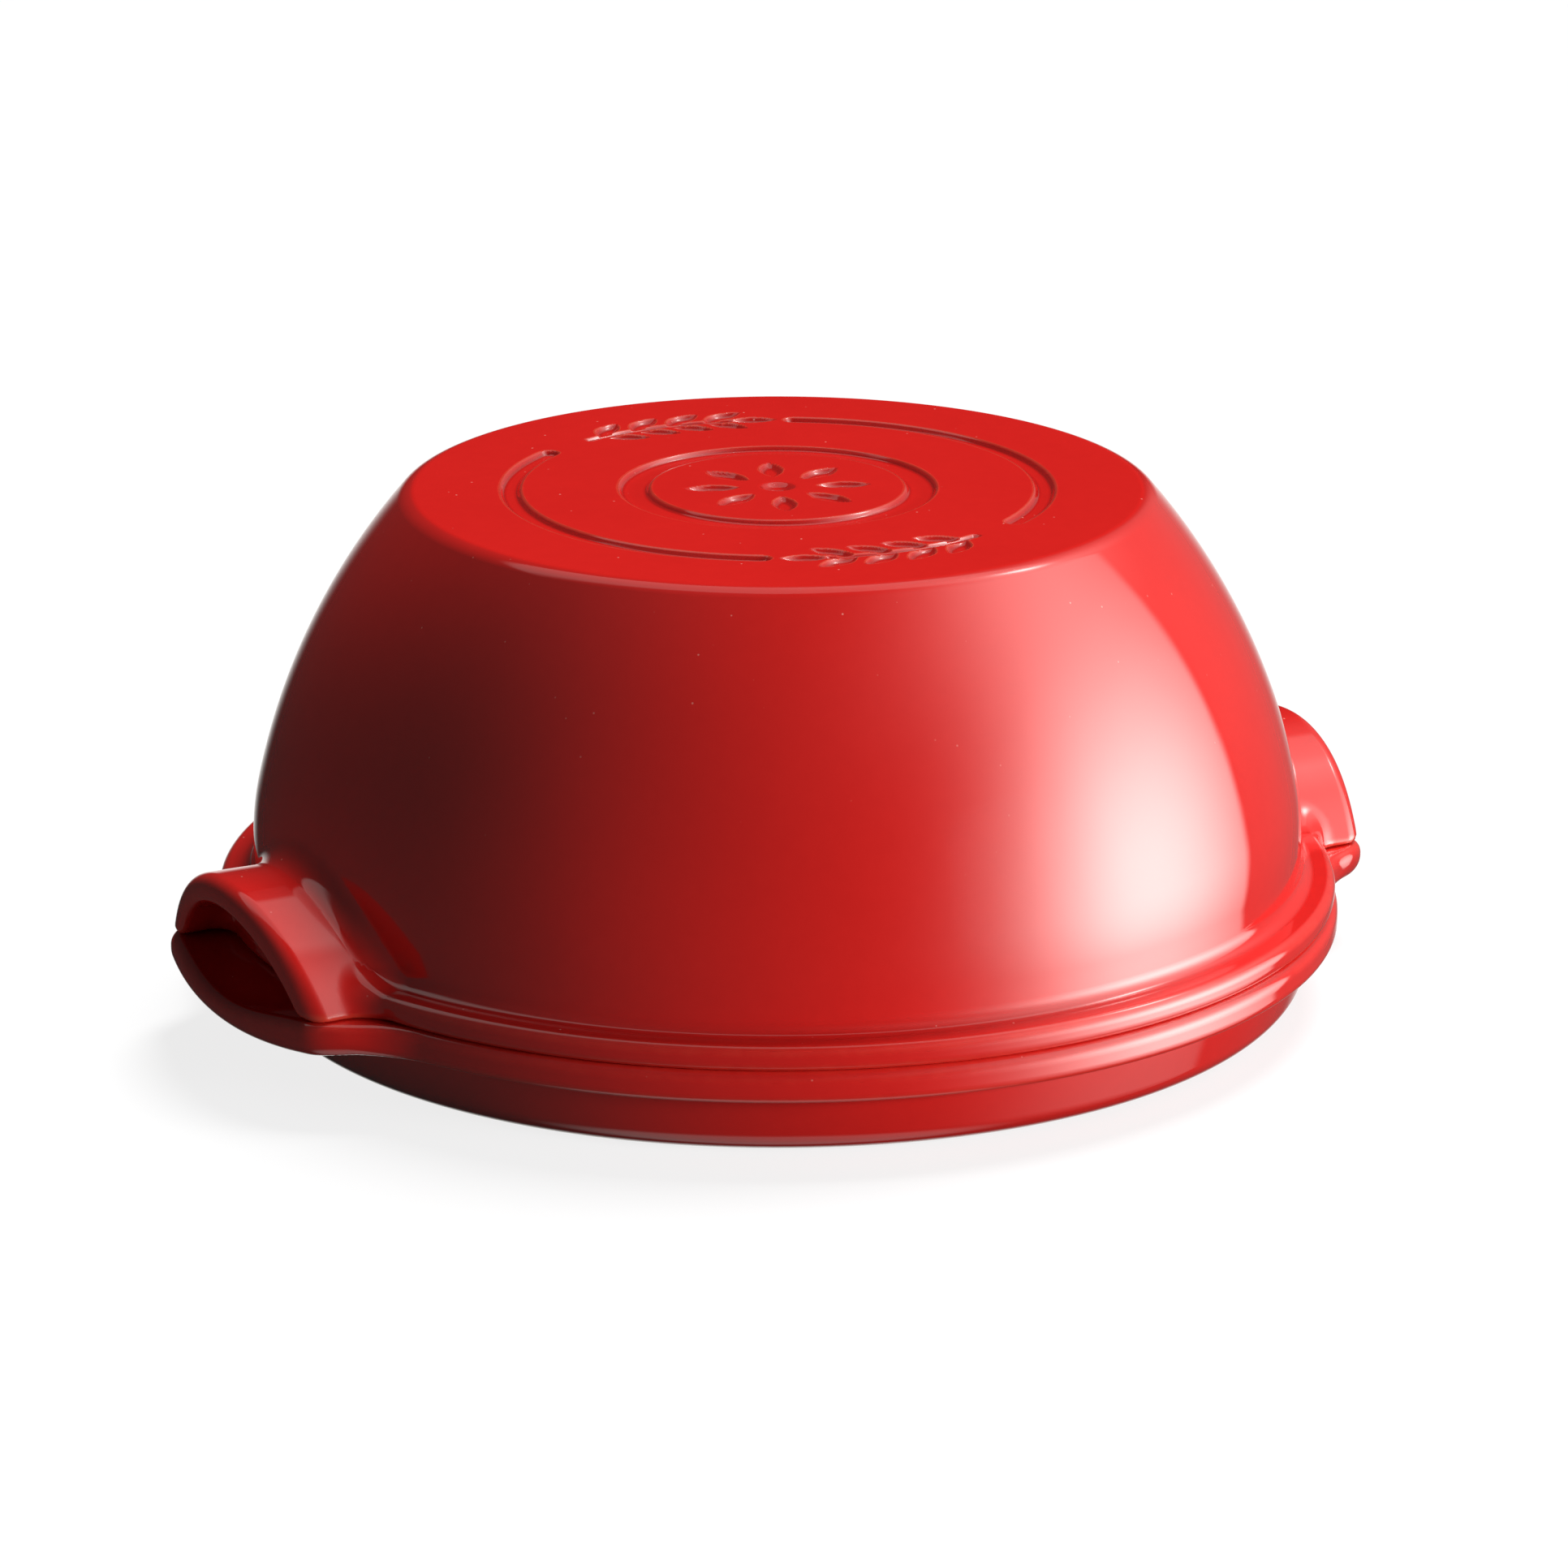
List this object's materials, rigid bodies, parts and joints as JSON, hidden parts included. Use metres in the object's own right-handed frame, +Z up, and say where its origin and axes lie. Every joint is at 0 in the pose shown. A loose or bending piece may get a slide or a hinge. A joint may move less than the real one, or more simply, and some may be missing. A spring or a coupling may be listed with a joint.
{
  "type": "bread cloche",
  "caption": "Round glazed stoneware bread cloche: a domed lid with arched hoods rests on a shallow footed dish with scooped lips, forming a finger hold at each side.",
  "frame": {"origin": "centre of the foot ring, on the plane that the dish stands on", "axes": "+Z up along the axis of the dome, +X through the two handles, +Y towards the back"},
  "size_m": [0.3224, 0.2936, 0.133],
  "materials": {
    "dish_glaze": "gloss",
    "lid_glaze": "gloss"
  },
  "bodies": {
    "dish": {"base_dish": "dish_glaze"},
    "lid": {"dome_lid": "lid_glaze"}
  },
  "joints": [
    {"name": "lid_lift", "type": "slide", "parent": "dish", "child": "lid", "axis": [0, 0, 1], "range_m": [0, 0.15]}
  ]
}
